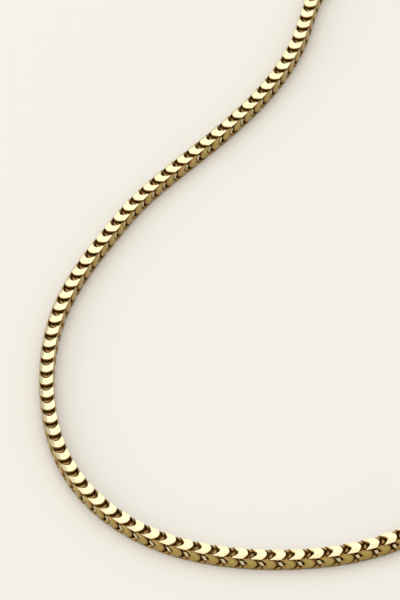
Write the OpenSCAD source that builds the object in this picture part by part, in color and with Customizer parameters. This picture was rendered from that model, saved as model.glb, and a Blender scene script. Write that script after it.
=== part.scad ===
// Franco neck chain, laid flat in a closed loop.
// A square chain of two families of links. The links of one family show a V on the top and the
// bottom, the links of the other show it on the two sides, half a pitch further on, so that all
// four faces carry a row of Vs that point the same way.
// Lengths are in millimetres, +Z is up and the chain rests on z = 0.

/* [Chain] */
// Width and height of the square chain
chain_w = 4; // [3.6:0.1:4.6]
// Distance from one V to the next on the same face
pitch = 4.7; // [4.5:0.1:6]
// Straight stretch of the route that the clasp takes up, between its two end links
clasp_span = 24; // [22:1:40]

/* [Links] */
// Thickness of a V, measured in from the face of the chain
face_t = 0.7; // [0.5:0.05:0.8]
// Length of a V along the chain, measured at its middle
vee_l = 2.4; // [1.8:0.1:2.6]
// Distance that the round front of a V falls back, from its tip to the edge of the chain
vee_front = 1.4; // [1:0.05:1.6]
// Distance that the notch of a V reaches back, from its middle to the edge of the chain
vee_sweep = 2.1; // [1.6:0.05:2.2]
// Width of the blunt tip of a V
tip_w = 0.6; // [0.3:0.05:0.9]
// Thickness of the inner yoke that joins the two Vs of a link
yoke_t = 0.35; // [0.25:0.05:0.45]
// Width of the yoke's neck, where it runs under the next link
neck_w = 0.75; // [0.5:0.05:0.9]
// Length of the yoke's posts along the chain
post_l = 1.1; // [0.9:0.05:1.2]
// Distance from the tip of a V back to the yoke's posts
post_back = 1.9; // [1.6:0.05:2.1]
// Width of the cross bar that shows in the gap behind the next V
bar_w = 1.4; // [1:0.1:1.6]
// Height that the cross bar rises above the yoke
bar_rise = 0.5; // [0.3:0.05:0.6]

/* [Clearances] */
// Gap between the layers of two links
play = 0.29; // [0.2:0.01:0.32]
// Gap between two links along the chain
slack = 0.35; // [0.25:0.01:0.4]

/* [Clasp] */
// Width of the clasp's body
clasp_w = 6; // [5:0.2:8]
// Length of the clasp's body
clasp_l = 13; // [9:0.5:14]
// Width of the flats along the clasp's edges
clasp_bevel = 0.6; // [0.2:0.1:1]
// Width of the collars that close the two ends of the chain
collar_w = 4.6; // [4.2:0.1:5]
// Length of a collar
collar_l = 2.8; // [2:0.1:4]
// Width and height of the neck between a collar and the body
clasp_neck = 2.8; // [2:0.1:3.2]

/* [Hidden] */

// The route's control points, chosen by hand on the table, in the order in which the Vs point.
ROUTE = [
    [44, 112], [27, 82], [-4, 53], [-13, 39], [-31, 10], [-35, -26], [-29, -58], [-7, -83],
    [26, -91], [56, -87], [81, -64], [92, -32], [95, 0], [98, 33], [102, 66], [109, 95],
    [110, 136], [76, 156], [47, 139]
];
// The place on the route, in control points, where the middle of the clasp lies
CLASP_AT = 13.06;
// Steps in which each span of the route is measured
SPAN_STEPS = 24;
// Part of a span, ahead of a place and behind it, over which the route's heading is taken
NUDGE = 0.01;
// Sides of a full circle in the clasp's round ends
ROUND_SIDES = 64;

// Share of the front's fall that is reached halfway from the tip to the edge
SHOULDER = 0.35;

half = chain_w / 2;
face_in = half - face_t;
yoke_out = face_in - play;
// Height to which a post runs up into its V
post_top = face_in + face_t / 4;
bar_front = pitch / 2 + post_back + post_l + slack;
bar_back = pitch + post_back - slack;
link_mid = bar_back / 2;
// Where the clasp's collars end, just short of the nearest loose link
clasp_end = clasp_span / 2 - link_mid + pitch / 2 - slack;
// The collars and necks have narrower flats along their edges
collar_bevel = clasp_bevel / 2;

// A closed cubic B-spline through the route's control points
function knot(i) = ROUTE[(i + len(ROUTE)) % len(ROUTE)];
function blend(a, b, c, d, t) =
    (pow(1 - t, 3) * a + (3 * t * t * t - 6 * t * t + 4) * b
    + (-3 * t * t * t + 3 * t * t + 3 * t + 1) * c + t * t * t * d) / 6;
function on_route(u) =
    let (i = floor(u), t = u - i)
    blend(knot(i - 1), knot(i), knot(i + 1), knot(i + 2), t);
function heading(u) =
    let (d = on_route(u + NUDGE) - on_route(u - NUDGE))
    atan2(d[1], d[0]);

// Points along one lap that starts and ends at the middle of the clasp
lap = [for (i = [0 : len(ROUTE) * SPAN_STEPS]) CLASP_AT + i / SPAN_STEPS];
spots = [for (u = lap) on_route(u)];
hops = [for (i = [1 : len(spots) - 1]) norm(spots[i] - spots[i - 1])];
run = [for (i = 0, s = 0; i < len(lap); s = i < len(hops) ? s + hops[i] : s, i = i + 1) [s, lap[i]]];
lap_l = run[len(run) - 1][0];
function u_at(s) = lookup(s, run);

xs = [for (p = spots) p[0]];
ys = [for (p = spots) p[1]];
middle = [(min(xs) + max(xs)) / 2, (min(ys) + max(ys)) / 2];

// Links are counted from the clasp, and both families together fill the rest of the lap
steps = 2 * floor((lap_l - clasp_span) / pitch) + 1;
step = (lap_l - clasp_span) / steps;
function link_s(k) = clasp_span / 2 + k * step;

// A piece that is drawn along +X, with its middle at the origin, set on the route
module set_at(s) {
    u = u_at(s);
    p = on_route(u) - middle;
    translate([p[0], p[1], half]) rotate(heading(u)) children();
}

// The outline of a V with its tip at x = 0, a bowed front and a pointed notch behind
module vee_outline() {
    tip = tip_w / 2;
    mid = (tip + half) / 2;
    bow = SHOULDER * vee_front;
    tail = vee_l + vee_sweep;
    polygon([
        [0, -tip], [0, tip], [-bow, mid], [-vee_front, half], [-tail, half],
        [-vee_l, tip], [-vee_l, -tip], [-tail, -half], [-vee_front, -half], [-bow, -mid]
    ]);
}

// The section of both Vs, with sides cut at 45 degrees to leave room for the other family
module vee_section() {
    mitre = play * cos(45);
    for (up = [-1, 1])
        polygon([
            [mitre - half, up * half], [half - mitre, up * half],
            [face_in - mitre, up * face_in], [mitre - face_in, up * face_in]
        ]);
}

// The yoke that joins the two Vs on one side: posts, a neck and the foot of the cross bar
module yoke_outline() {
    post_end = post_back + post_l;
    polygon([
        [-post_back, -post_top], [-post_back, post_top],
        [-post_end, post_top], [-post_end, neck_w / 2],
        [-bar_front, neck_w / 2], [-bar_front, bar_w / 2],
        [-bar_back, bar_w / 2], [-bar_back, -bar_w / 2],
        [-bar_front, -bar_w / 2], [-bar_front, -neck_w / 2],
        [-post_end, -neck_w / 2], [-post_end, -post_top]
    ]);
}

// One link with its Vs on the top and the bottom, and its middle at the origin
module link() {
    translate([link_mid, 0, 0]) {
        intersection() {
            translate([0, 0, -half]) linear_extrude(chain_w) vee_outline();
            translate([-vee_l - vee_sweep, 0, 0]) rotate([90, 0, 90])
                linear_extrude(vee_l + vee_sweep) vee_section();
        }
        for (side = [0, 1]) mirror([0, side, 0]) {
            translate([0, yoke_out, 0]) rotate([90, 0, 0]) linear_extrude(yoke_t) yoke_outline();
            translate([-bar_back, yoke_out - yoke_t / 2, -bar_w / 2])
                cube([bar_back - bar_front, bar_rise + yoke_t / 2, bar_w]);
        }
    }
}

// One family of links: first = 1 shows its Vs on the top, first = 2 on the sides
module family(first, turn) {
    for (k = [first : 2 : steps - 1]) set_at(link_s(k)) rotate([turn, 0, 0]) link();
}

module face_links() {
    color("gold") family(1, 0);
}

module side_links() {
    color("goldenrod") family(2, 90);
}

// An eight-sided section, with a flat along each of its edges
module bevelled(w, h, b) {
    polygon([
        [b - w / 2, -h / 2], [w / 2 - b, -h / 2], [w / 2, b - h / 2], [w / 2, h / 2 - b],
        [w / 2 - b, h / 2], [b - w / 2, h / 2], [-w / 2, h / 2 - b], [-w / 2, b - h / 2]
    ]);
}

// A straight bar along X between two places, with that section
module bar(from, to, w, h, b) {
    translate([from, 0, 0]) rotate([90, 0, 90]) linear_extrude(to - from) bevelled(w, h, b);
}

// The body has half-round ends, and stands between two collars on narrower necks
module clasp_body() {
    centre = (clasp_l - clasp_w) / 2;
    bar(-centre, centre, clasp_w, chain_w, clasp_bevel);
    for (end = [0, 1]) mirror([end, 0, 0]) {
        translate([centre, 0, 0]) rotate_extrude($fn = ROUND_SIDES)
            intersection() {
                bevelled(clasp_w, chain_w, clasp_bevel);
                translate([0, -chain_w]) square([clasp_w, 2 * chain_w]);
            }
        bar(centre, clasp_end - collar_l / 2, clasp_neck, clasp_neck, collar_bevel);
        bar(clasp_end - collar_l, clasp_end, collar_w, chain_w, collar_bevel);
    }
}

// The clasp is one plain piece, with a chain link soldered into each of its ends
module clasp() {
    color("khaki") {
        set_at(link_s(0)) rotate([90, 0, 0]) link();
        set_at(link_s(steps)) link();
        set_at(0) clasp_body();
    }
}

face_links();
side_links();
clasp();
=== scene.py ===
# %% [markdown]
# # A franco neck chain
# A franco chain is square, and every one of its four faces shows a row of Vs that point the same
# way. Two families of links make it: one shows its Vs on the top and the underside, the other on
# the two sides, half a pitch further on. Each V is a bent wire whose outer side is cut flat and
# polished. This lesson dresses the plain solids of such a chain: it sets one finely shaped link
# along the route of the necklace, 248 times, and gives it the finish of polished pale gold.

import bisect
import math

import bmesh
import bpy
from mathutils import Matrix, Vector


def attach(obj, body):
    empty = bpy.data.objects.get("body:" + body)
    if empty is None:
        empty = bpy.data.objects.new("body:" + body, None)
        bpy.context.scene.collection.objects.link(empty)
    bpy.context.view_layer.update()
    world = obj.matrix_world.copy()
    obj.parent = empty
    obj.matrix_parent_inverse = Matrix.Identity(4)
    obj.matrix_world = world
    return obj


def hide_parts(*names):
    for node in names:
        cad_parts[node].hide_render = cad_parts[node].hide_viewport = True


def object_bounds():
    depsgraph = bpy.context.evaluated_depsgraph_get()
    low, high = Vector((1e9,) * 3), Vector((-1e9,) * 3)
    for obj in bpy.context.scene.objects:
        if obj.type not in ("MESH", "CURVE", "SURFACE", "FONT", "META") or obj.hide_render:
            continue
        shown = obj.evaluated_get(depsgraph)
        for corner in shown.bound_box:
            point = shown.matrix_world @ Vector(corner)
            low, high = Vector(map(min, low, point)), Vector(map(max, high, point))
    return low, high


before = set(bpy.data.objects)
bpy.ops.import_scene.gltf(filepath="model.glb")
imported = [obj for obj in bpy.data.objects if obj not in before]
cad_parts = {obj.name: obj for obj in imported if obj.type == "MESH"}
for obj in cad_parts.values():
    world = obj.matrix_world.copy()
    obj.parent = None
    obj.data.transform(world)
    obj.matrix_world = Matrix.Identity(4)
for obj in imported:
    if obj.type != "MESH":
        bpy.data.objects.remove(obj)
solid_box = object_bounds()
print("solids from", tuple(solid_box[0]), "to", tuple(solid_box[1]))

# %% [markdown]
# ## The camera
# The picture of the real chain was taken with a long lens from about 43 degrees above the table,
# and slightly tilted. Where the camera stood was worked out from the chain itself, because all its
# Vs are equally far apart and equally wide. A long lens gives the flat, even perspective of a
# catalogue picture. The camera is placed by its three axes, which shows plainly what roll does.

# %% Camera
MM = 0.001
ELEVATION = math.radians(42.954)
ROLL = math.radians(4.489)
CAMERA_AT = Vector((-0.02975, -0.86222, 0.78360))
FOCAL_MM = 260.65

forward = Vector((0, math.cos(ELEVATION), -math.sin(ELEVATION)))
right = Matrix.Rotation(ROLL, 3, forward) @ Vector((1, 0, 0))
upward = right.cross(forward)

camera = bpy.data.objects.new("camera", bpy.data.cameras.new("camera"))
camera.data.lens = FOCAL_MM
camera.matrix_world = Matrix.LocRotScale(
    CAMERA_AT, Matrix((right, upward, -forward)).transposed(), None)
bpy.context.scene.collection.objects.link(camera)
bpy.context.scene.camera = camera
print("camera", round(CAMERA_AT.length, 3), "m from the middle of the chain")

# %% [markdown]
# ## The route
# The chain lies in one soft, closed curve. Such a curve could be drawn by hand, point by point.
# Here it is a cubic B-spline through a few round numbers, because a B-spline bends evenly, as a
# chain does, and because the solids follow the same numbers, so that every link has its place.

# %% Route
ROUTE = [
    (0.044, 0.112), (0.027, 0.082), (-0.004, 0.053), (-0.013, 0.039), (-0.031, 0.010),
    (-0.035, -0.026), (-0.029, -0.058), (-0.007, -0.083), (0.026, -0.091), (0.056, -0.087),
    (0.081, -0.064), (0.092, -0.032), (0.095, 0.000), (0.098, 0.033), (0.102, 0.066),
    (0.109, 0.095), (0.110, 0.136), (0.076, 0.156), (0.047, 0.139),
]
# The middle of the clasp lies this many control points along
CLASP_AT = 13.06
SPAN_STEPS = 24


def on_route(u):
    """The place u control points along the closed curve."""
    i = math.floor(u)
    t = u - i
    a, b, c, d = (Vector(ROUTE[(i + k) % len(ROUTE)]) for k in (-1, 0, 1, 2))
    return ((1 - t) ** 3 * a + (3 * t ** 3 - 6 * t ** 2 + 4) * b
            + (-3 * t ** 3 + 3 * t ** 2 + 3 * t + 1) * c + t ** 3 * d) / 6


lap = [CLASP_AT + i / SPAN_STEPS for i in range(len(ROUTE) * SPAN_STEPS + 1)]
spots = [on_route(u) for u in lap]
run = [0.0]
for here, there in zip(spots, spots[1:]):
    run.append(run[-1] + (there - here).length)
lap_l = run[-1]
middle = Vector([(min(p[k] for p in spots) + max(p[k] for p in spots)) / 2 for k in (0, 1)])
print("one lap is", round(lap_l, 4), "m")

# %% [markdown]
# ## Places along the route
# A link is modelled once, lying along X. A constraint could make it follow a curve, but a matrix is
# simpler: it turns the link to the curve's heading and moves it to its place. The length between
# two neighbours is the lap, less the clasp, shared out evenly.

# %% Places
CHAIN_W = solid_box[1].z - solid_box[0].z
HALF = CHAIN_W / 2
PITCH = 4.7 * MM
CLASP_SPAN = 24 * MM
# The heading is taken over this part of a span, ahead of a place and behind it
NUDGE = 0.01

steps = 2 * math.floor((lap_l - CLASP_SPAN) / PITCH) + 1
step = (lap_l - CLASP_SPAN) / steps


def link_s(k):
    """How far along the lap link k lies, from the middle of the clasp."""
    return CLASP_SPAN / 2 + k * step


def setting(s):
    """The matrix that sets a piece on the route, s metres from the middle of the clasp."""
    s = s % lap_l
    i = min(bisect.bisect_right(run, s), len(run) - 1)
    u = lap[i - 1] + (lap[i] - lap[i - 1]) * (s - run[i - 1]) / (run[i] - run[i - 1])
    p = on_route(u) - middle
    d = on_route(u + NUDGE) - on_route(u - NUDGE)
    return Matrix.Translation((p.x, p.y, HALF)) @ Matrix.Rotation(math.atan2(d.y, d.x), 4, "Z")


print(steps - 1, "loose links,", round(step / MM, 3), "mm apart")

# %% [markdown]
# ## The outline of a V
# The V is the part of a link that everyone sees: a wire bent to a V, with its outer side cut and
# polished. The cut leaves a crescent: its front is bowed, its notch is a V, and its tails are
# pointed. Both lines could be drawn as curves and filled. Here each is a short formula that says
# how far back the line lies at a place across the chain, because the plate needs them twice: for
# its cut facet and for its narrower inner side.

# %% V outline
VEE_L = 2.4 * MM
VEE_FRONT = 1.4 * MM
VEE_SWEEP = 2.1 * MM
FRONT_POWER = 1.9
NOTCH_R = 0.4 * MM


def front_x(y):
    """Where the bowed front line of the V lies at y."""
    return -VEE_FRONT * abs(y / HALF) ** FRONT_POWER


def notch_x(y):
    """Where the line of the notch lies at y: a hyperbola, which is a V with a round middle."""
    reach = math.hypot(HALF, NOTCH_R) - NOTCH_R
    return -VEE_L - VEE_SWEEP * (math.hypot(y, NOTCH_R) - NOTCH_R) / reach


for share in (0, 0.5, 1):
    print("at", share, "of the way to the edge a V runs from", round(notch_x(share * HALF) / MM, 2),
          "to", round(front_x(share * HALF) / MM, 2), "mm")

# %% [markdown]
# ## The plate of a V
# The cut facet isn't quite flat, but falls off a little towards its two ends. The plate could be
# cut from a block with a boolean, which leaves long thin faces. Here the bowed front is a row of
# points. It is extruded back to the line of the notch, then down to the inner side, and an inset
# narrows the top, which leaves a shoulder beside the cut.

# %% V plate
FACE_T = 0.7 * MM
FACE_IN = HALF - FACE_T
INNER_W = 2.2 * MM
FRONT_SLOPE = 0.2 * MM
NOTCH_SLOPE = 0.45 * MM
# Places across the plate, as shares of its half width
STATIONS = [-1.0, -0.62, -0.2, 0.2, 0.62, 1.0]


def corners(geom):
    """The vertices among what an operator made."""
    return [g for g in geom if isinstance(g, bmesh.types.BMVert)]


def sides(geom):
    """The faces among what an operator made."""
    return [g for g in geom if isinstance(g, bmesh.types.BMFace)]


def add_vee(bm, width, shoulder, depth, fall):
    """A V plate under the top face of the chain, its tip at x = 0. Gives back its cut facet."""
    across = [share * width / 2 for share in STATIONS]
    line = [bm.verts.new((front_x(y), y, HALF - depth - fall * (y / HALF) ** 2)) for y in across]
    edges = [bm.edges.new(pair) for pair in zip(line, line[1:])]
    swept = bmesh.ops.extrude_edge_only(bm, edges=edges)["geom"]
    for v in corners(swept):
        v.co.x = notch_x(v.co.y)
    cut = sides(swept)
    for v in corners(bmesh.ops.extrude_face_region(bm, geom=cut)["geom"]):
        y = v.co.y * INNER_W / width
        in_front = v.co.x > notch_x(v.co.y) + VEE_L / 2
        v.co = (front_x(y) + FRONT_SLOPE if in_front else notch_x(y) - NOTCH_SLOPE, y, FACE_IN)
    bmesh.ops.recalc_face_normals(bm, faces=bm.faces)
    bmesh.ops.inset_region(bm, faces=cut, thickness=shoulder, depth=depth,
                           use_even_offset=True, use_boundary=True)
    return cut


print("a plate is", round(FACE_T / MM, 2), "mm thick, in", len(STATIONS) - 1, "strips")

# %% [markdown]
# ## Where the yoke lies
# On each side a yoke joins the two Vs: a post between them, a neck that runs back through the next
# link, and a cross bar that holds the link behind and shows in the gap between two Vs. All of it
# has to pass between its neighbours. Its places could be typed in, but they are worked out from the
# pitch, the play between two layers and the slack along the chain, which shows where they come
# from.

# %% Yoke sizes
PLAY = 0.29 * MM
SLACK = 0.35 * MM
YOKE_T = 0.35 * MM
NECK_W = 0.75 * MM
POST_L = 1.1 * MM
POST_BACK = 1.9 * MM
BAR_W = 1.4 * MM
BAR_RISE = 0.5 * MM
YOKE_OUT = FACE_IN - PLAY
YOKE_IN = YOKE_OUT - YOKE_T
# A post ends a quarter of the way through its plate
POST_TOP = FACE_IN + FACE_T / 4
POST_END = POST_BACK + POST_L
BAR_FRONT = PITCH / 2 + POST_END + SLACK
BAR_BACK = PITCH + POST_BACK - SLACK
LINK_MID = BAR_BACK / 2
print("a link is", round(BAR_BACK / MM, 2), "mm long, with a bar of",
      round((BAR_BACK - BAR_FRONT) / MM, 2), "mm")

# %% [markdown]
# ## The yoke of a link
# On the real chain the yoke is bent wire, which crosses the gap at a slant. It could be a curve
# with a round section, but that takes a hundred faces. Here it is one face pushed along the chain,
# which is pulled narrow at the neck, and wide and slanting at the bar, so that the whole yoke stays
# one closed shell of two dozen faces.

# %% Yoke
# The neck is this much slimmer than a post on each side, so that the step between them has no
# empty face
THIN = 0.02 * MM
FLARE = 0.3 * MM
SLANT = 0.3 * MM


def reshape(face, x, low, high, tall, flare=0.0, slant=0.0):
    """Moves a face that looks along X to x, with y from low to high and z from -tall to tall."""
    mid = face.calc_center_median().y
    for v in face.verts:
        outer = v.co.y > mid
        v.co = (x - flare * outer - math.copysign(slant, v.co.z),
                high if outer else low, math.copysign(tall, v.co.z))


def add_yoke(bm):
    """The yoke on the side +y, from its post to its bar. Gives back the outer face of the bar."""
    made = bmesh.ops.create_cube(bm, size=1.0)["verts"]
    ends = sorted({f for v in made for f in v.link_faces}, key=lambda f: f.normal.x)
    back, front = ends[0], ends[-1]
    reshape(front, -POST_BACK, YOKE_IN, YOKE_OUT, POST_TOP)
    reshape(back, -POST_END, YOKE_IN, YOKE_OUT, POST_TOP)
    for place in (
        (-POST_END, YOKE_IN + THIN, YOKE_OUT - THIN, NECK_W / 2),
        (-BAR_FRONT, YOKE_IN + THIN, YOKE_OUT - THIN, NECK_W / 2),
        (-BAR_FRONT, YOKE_IN, YOKE_OUT + BAR_RISE, BAR_W / 2, 0, SLANT),
        (-BAR_BACK, YOKE_IN, YOKE_OUT + BAR_RISE, BAR_W / 2, FLARE, SLANT),
    ):
        back = bmesh.ops.extrude_discrete_faces(bm, faces=[back])["faces"][0]
        reshape(back, *place)
    bm.normal_update()
    return max((f for e in back.edges for f in e.link_faces), key=lambda f: f.normal.y)


print("the bar flares", round(FLARE / MM, 2), "mm and slants", round(SLANT / MM, 2), "mm each way")

# %% [markdown]
# ## One link
# A link is the same above and below, left and right, so its V is mirrored to the underside and its
# yoke to the other side. The cut facets get a material of their own, because they were polished
# after the wire was bent, and the rest of the wire keeps the softer skin of the drawn metal, in a
# darker gold that also paints the shade of the gaps. The two families share this shape, but the
# side
# Vs are cut narrower and rounder, and the outer faces of the face links' bars, which show between
# the side Vs, take the bright facet gold as a painted highlight. So there are two meshes, from one
# function.

# %% Link
WIRE, CUT = 0, 1
# The width of a cut V, the width and depth of its shoulder, and how far it falls off at its ends
TOP_CUT = (3.7 * MM, 0.1 * MM, 0.1 * MM, 0.22 * MM)
SIDE_CUT = (3.4 * MM, 0.35 * MM, 0.2 * MM, 0.3 * MM)


def everything(bm):
    """All the parts of a mesh, for an operator."""
    return bm.verts[:] + bm.edges[:] + bm.faces[:]


def link_mesh(cut, bar_face_slot):
    """The mesh of one link, as a face link with its middle at the origin."""
    yokes = bmesh.new()
    # The outer face of the bar takes the slot that is given; the bright cut slot there is a painted
    # highlight.
    add_yoke(yokes).material_index = bar_face_slot
    bmesh.ops.mirror(yokes, geom=everything(yokes), axis="Y", merge_dist=-1)
    mesh = bpy.data.meshes.new("link")
    yokes.to_mesh(mesh)
    yokes.free()
    bm = bmesh.new()
    for f in add_vee(bm, *cut):
        f.material_index = CUT
    bmesh.ops.mirror(bm, geom=everything(bm), axis="Z", merge_dist=-1)
    bm.from_mesh(mesh)
    bmesh.ops.translate(bm, vec=(LINK_MID, 0, 0), verts=bm.verts)
    bmesh.ops.recalc_face_normals(bm, faces=bm.faces)
    for f in bm.faces:
        f.smooth = True
    for e in bm.edges:
        e.smooth = len({f.material_index for f in e.link_faces}) == 1
    print("a link has", len(bm.faces), "faces and", round(bm.calc_volume() / MM ** 3, 2), "mm3")
    print("open edges:", sum(len(e.link_faces) != 2 for e in bm.edges))
    bm.to_mesh(mesh)
    bm.free()
    return mesh


# The face links' bars get the bright cut slot, a painted highlight between the side Vs; the side
# links' bars keep the wire gold.
FACE_LINK = link_mesh(TOP_CUT, CUT)
SIDE_LINK = link_mesh(SIDE_CUT, WIRE)

# %% [markdown]
# ## The two rows of links
# A real chain is woven link by link. An array along a curve would do it here, but it would bend
# each link. So a loop copies the stiff link to each place instead, and joins one family's 124
# copies in one mesh, as the two families share the work of the chain.

# %% Rows
QUARTER = Matrix.Rotation(math.pi / 2, 4, "X")


def add_link(bm, link, k, turn):
    """Copies a link into a mesh, at place k of the route."""
    first = len(bm.verts)
    bm.from_mesh(link)
    bm.verts.ensure_lookup_table()
    bmesh.ops.transform(bm, matrix=setting(link_s(k)) @ turn, verts=bm.verts[first:])


def finished(name, bm):
    """Turns a bmesh into a piece of the scene."""
    mesh = bpy.data.meshes.new(name)
    bm.to_mesh(mesh)
    bm.free()
    piece = bpy.data.objects.new(name, mesh)
    bpy.context.scene.collection.objects.link(piece)
    return piece


def row(name, link, first, turn):
    """Every second loose link, from place first on."""
    bm = bmesh.new()
    places = range(first, steps, 2)
    for k in places:
        add_link(bm, link, k, turn)
    print(name, "has", len(places), "links and", len(bm.faces), "faces")
    return finished(name, bm)


face_row = row("face_link_row", FACE_LINK, 1, Matrix.Identity(4))
side_row = row("side_link_row", SIDE_LINK, 2, QUARTER)

# %% [markdown]
# ## Rounded blocks
# The clasp lies on the hidden side of the necklace, between two collars that the last links are
# soldered into. The collars, and the necks beside them, are plain blocks with rounded edges. A
# bevel modifier could round them. The operator is used here, because it rounds each block on its
# own, before it joins the others in one mesh.

# %% Blocks
def add_part(bm, part):
    """Adds one bmesh to another, and frees it."""
    mesh = bpy.data.meshes.new("part")
    part.to_mesh(mesh)
    part.free()
    bm.from_mesh(mesh)
    bpy.data.meshes.remove(mesh)


def soften(bm, edges, width):
    """Rounds some edges of a solid."""
    bmesh.ops.bevel(bm, geom=edges, offset=width, offset_type="OFFSET", segments=3,
                    profile=0.5, affect="EDGES", material=-1)


def add_block(bm, low, high, w, h, rounding):
    """A block along X with rounded edges, from low to high."""
    block = bmesh.new()
    bmesh.ops.create_cube(block, size=1.0)
    bmesh.ops.scale(block, vec=(high - low, w, h), verts=block.verts)
    bmesh.ops.translate(block, vec=((low + high) / 2, 0, 0), verts=block.verts)
    soften(block, block.edges[:], rounding)
    print("block from", round(low / MM, 2), "to", round(high / MM, 2), "mm,",
          len(block.faces), "faces")
    add_part(bm, block)


# %% [markdown]
# ## The body of the clasp
# Seen from above, the body is a stadium: a bar with half-round ends. It could be joined from a
# block and two cylinders. Here it is a circle whose two halves are pulled apart, which leaves no
# seams, and a bevel rounds its edges.

# %% Clasp body
CLASP_W = 6.0 * MM
CLASP_L = 13.0 * MM
CLASP_BEVEL = 0.6 * MM
ROUND_SIDES = 32


def add_body(bm):
    """The clasp's body: a circle pulled apart to a stadium, raised and rounded."""
    body = bmesh.new()
    bmesh.ops.create_circle(body, cap_ends=True, segments=ROUND_SIDES, radius=CLASP_W / 2)
    for v in body.verts:
        v.co.x += math.copysign((CLASP_L - CLASP_W) / 2, v.co.x)
        v.co.z = -HALF
    sheet = body.faces[:]
    lid = bmesh.ops.extrude_face_region(body, geom=sheet)["geom"]
    bmesh.ops.translate(body, vec=(0, 0, CHAIN_W), verts=corners(lid))
    flats = sheet + sides(lid)
    soften(body, list({e for f in flats for e in f.edges}), CLASP_BEVEL)
    print("the clasp's body has", len(body.faces), "faces")
    add_part(bm, body)


# %% [markdown]
# ## The clasp
# The real clasp opens, but the picture hides it, so it is one plain, closed piece without a joint.
# Its end links are the same two meshes as in the rows, set at the first and the last place of the
# route. They could belong to the rows, but soldered links move with the clasp.

# %% Clasp
COLLAR_W = 4.6 * MM
COLLAR_L = 2.8 * MM
NECK = 2.8 * MM
CLASP_END = CLASP_SPAN / 2 - LINK_MID + PITCH / 2 - SLACK


def clasp_piece():
    """The clasp with its two end links."""
    bm = bmesh.new()
    add_body(bm)
    for end in (-1, 1):
        reach = sorted((end * (CLASP_L - CLASP_W) / 2, end * (CLASP_END - COLLAR_L / 2)))
        add_block(bm, *reach, NECK, NECK, CLASP_BEVEL / 2)
        reach = sorted((end * (CLASP_END - COLLAR_L), end * CLASP_END))
        add_block(bm, *reach, COLLAR_W, CHAIN_W, CLASP_BEVEL / 2)
    bmesh.ops.transform(bm, matrix=setting(0), verts=bm.verts)
    for f in bm.faces:
        f.smooth = True
    add_link(bm, SIDE_LINK, 0, QUARTER)
    add_link(bm, FACE_LINK, steps, Matrix.Identity(4))
    bmesh.ops.recalc_face_normals(bm, faces=bm.faces)
    print("clasp has", len(bm.faces), "faces")
    return finished("clasp_piece", bm)


clasp = clasp_piece()

# %% [markdown]
# ## Gold
# The chain is pale yellow gold. Polished metal has almost no colour of its own: it shows what it
# mirrors, tinted. A plain metal of one colour would do, but looks like plastic. So a coarse noise
# mixes two tints, and a fine noise in the roughness and the bump gives the small waves and
# hairlines that a cut facet has.

# %% Gold
# The clouds of the two tints are this many times as coarse as the grain
CLOUDS = 8
RELIEF = 0.02 * MM


def node(material, kind, **values):
    """A shader node with some of its input values set."""
    made = material.node_tree.nodes.new(kind)
    for name, value in values.items():
        made.inputs[name.replace("_", " ")].default_value = value
    return made


def gold(name, tint, stain, rough, spread, grain, bump):
    """Polished gold: two tints mixed by a noise, a roughness that varies, and fine relief."""
    m = bpy.data.materials.new(name)
    m.use_nodes = True
    m.diffuse_color = (*tint, 1)
    links = m.node_tree.links
    shader = m.node_tree.nodes["Principled BSDF"]
    shader.inputs["Metallic"].default_value = 1.0
    place = node(m, "ShaderNodeTexCoord")
    cloud = node(m, "ShaderNodeTexNoise", Scale=grain / CLOUDS, Detail=2.0, Roughness=0.5)
    fine = node(m, "ShaderNodeTexNoise", Scale=grain, Detail=4.0, Roughness=0.6)
    links.new(place.outputs["Object"], cloud.inputs["Vector"])
    links.new(place.outputs["Object"], fine.inputs["Vector"])
    mix = m.node_tree.nodes.new("ShaderNodeMix")
    mix.data_type = "RGBA"
    mix.inputs["A"].default_value = (*tint, 1)
    mix.inputs["B"].default_value = (*stain, 1)
    links.new(cloud.outputs["Fac"], mix.inputs["Factor"])
    links.new(mix.outputs["Result"], shader.inputs["Base Color"])
    varied = node(m, "ShaderNodeMapRange", To_Min=rough, To_Max=rough + spread)
    links.new(fine.outputs["Fac"], varied.inputs["Value"])
    links.new(varied.outputs["Result"], shader.inputs["Roughness"])
    relief = node(m, "ShaderNodeBump", Strength=bump, Distance=RELIEF)
    links.new(fine.outputs["Fac"], relief.inputs["Height"])
    links.new(relief.outputs["Normal"], shader.inputs["Normal"])
    print(name, "has", len(m.node_tree.nodes), "nodes")
    return m


# %% [markdown]
# ## Four golds, with painted shade and a painted highlight
# Polish reaches only the cut facets and the clasp. The same bright gold on the outer face of the
# face links' bars is a painted highlight. The drawn wire beside the facets is rougher, and its
# browner, darker tint is partly the wire and partly painted shade in the gaps between the Vs. The
# side facets are cut like the top ones, but beside the bright top they look olive, so they get a
# darker gold between the two, which is painted shade. All four could be one material with a mask,
# but a slot for each face is easier to see and to change.

# %% Finishes, painted shade and a painted highlight
# The wire gold is the rougher drawn metal. Its darker, browner tint is partly painted shade for the
# gaps between the Vs.
wire_and_shade_gold = gold("wire_and_shade_gold", tint=(0.50, 0.32, 0.12), stain=(0.42, 0.26, 0.08),
                 rough=0.28, spread=0.12, grain=1500.0, bump=0.1)
# The bright facet gold is the polish of the cut facets. On the outer face of the face links' bars
# it is a painted highlight.
facet_and_glint_gold = gold("facet_and_glint_gold", tint=(0.84, 0.75, 0.49), stain=(0.80, 0.71, 0.44),
                rough=0.10, spread=0.08, grain=2500.0, bump=0.15)
# The side facets are cut like the top ones; their darker olive gold is painted shade.
side_shade_gold = gold("side_shade_gold", tint=(0.52, 0.40, 0.13), stain=(0.44, 0.33, 0.10),
                 rough=0.12, spread=0.08, grain=2500.0, bump=0.15)
clasp_gold = gold("clasp_gold", tint=(0.80, 0.68, 0.38), stain=(0.76, 0.63, 0.33),
                  rough=0.14, spread=0.10, grain=2500.0, bump=0.15)

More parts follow.
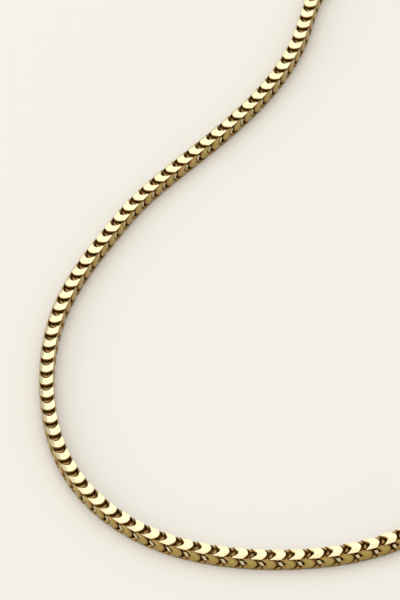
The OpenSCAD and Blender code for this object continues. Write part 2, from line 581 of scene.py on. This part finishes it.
# The top facets get the bright polish; the side facets get the darker gold that paints their shade.
for piece, facet_gold in ((face_row, facet_and_glint_gold), (side_row, side_shade_gold)):
    piece.data.materials.append(wire_and_shade_gold)
    piece.data.materials.append(facet_gold)
clasp.data.materials.append(clasp_gold)
clasp.data.materials.append(facet_and_glint_gold)

# %% [markdown]
# ## The pieces take their places
# Each dressed piece stands for the plain solid that it was modelled after. It could be laid over
# the solid instead, but then the two would flicker through each other.

# %% Places taken
for piece, solid in ((face_row, "face_links"), (side_row, "side_links"), (clasp, "clasp")):
    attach(piece, "root")
    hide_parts(solid)
    print(piece.name, "stands for", solid)

# %% [markdown]
# ## The surface
# The chain lies on plain cream paper. A curved backdrop would do in a wider picture. Here the
# camera looks down and sees nothing else, so one flat square is enough.

# %% Floor
FLOOR_SIZE = 3.0
CREAM = (0.93, 0.90, 0.83)
PAPER_ROUGHNESS = 0.9


def floor_piece():
    """A square sheet on z = 0."""
    bm = bmesh.new()
    bmesh.ops.create_grid(bm, x_segments=1, y_segments=1, size=FLOOR_SIZE / 2)
    return finished("floor", bm)


floor = floor_piece()
cream = bpy.data.materials.new("cream")
cream.use_nodes = True
paper = cream.node_tree.nodes["Principled BSDF"]
paper.inputs["Base Color"].default_value = (*CREAM, 1)
paper.inputs["Roughness"].default_value = PAPER_ROUGHNESS
floor.data.materials.append(cream)
print("the floor is", FLOOR_SIZE, "m square")

# %% [markdown]
# ## The light
# A polished facet is only as bright as what it mirrors, so a soft lamp stands behind the chain,
# just where the top facets look when the camera sees them. A broad one overhead lights the surface
# almost without a shadow, a small one on the left gives the walls of the gaps some glints, and a
# pale room fills in the rest. Sun lamps could light it too, but a metal would mirror them as hard
# points.

# %% Lamps
ROOM = (1.0, 0.98, 0.95)
ROOM_STRENGTH = 0.67


def softbox(name, at, size, watts):
    """A square white lamp that faces the middle of the chain."""
    lamp = bpy.data.objects.new(name, bpy.data.lights.new(name, "AREA"))
    lamp.data.shape = "SQUARE"
    lamp.data.size = size
    lamp.data.energy = watts
    at = Vector(at)
    lamp.matrix_world = Matrix.LocRotScale(at, (-at).to_track_quat("-Z", "Y"), None)
    bpy.context.scene.collection.objects.link(lamp)
    print(name, round(at.length, 2), "m away")


softbox("lamp_behind", at=(0.0, 0.95, 0.88), size=0.6, watts=0.9)
softbox("lamp_above", at=(-0.2, 0.0, 1.6), size=2.4, watts=10.5)
softbox("lamp_left", at=(-1.3, -0.1, 0.5), size=0.6, watts=2.5)

world = bpy.data.worlds.new("room")
world.use_nodes = True
background = world.node_tree.nodes["Background"]
background.inputs["Color"].default_value = (*ROOM, 1)
background.inputs["Strength"].default_value = ROOM_STRENGTH
bpy.context.scene.world = world
bpy.context.scene.view_settings.view_transform = "Standard"
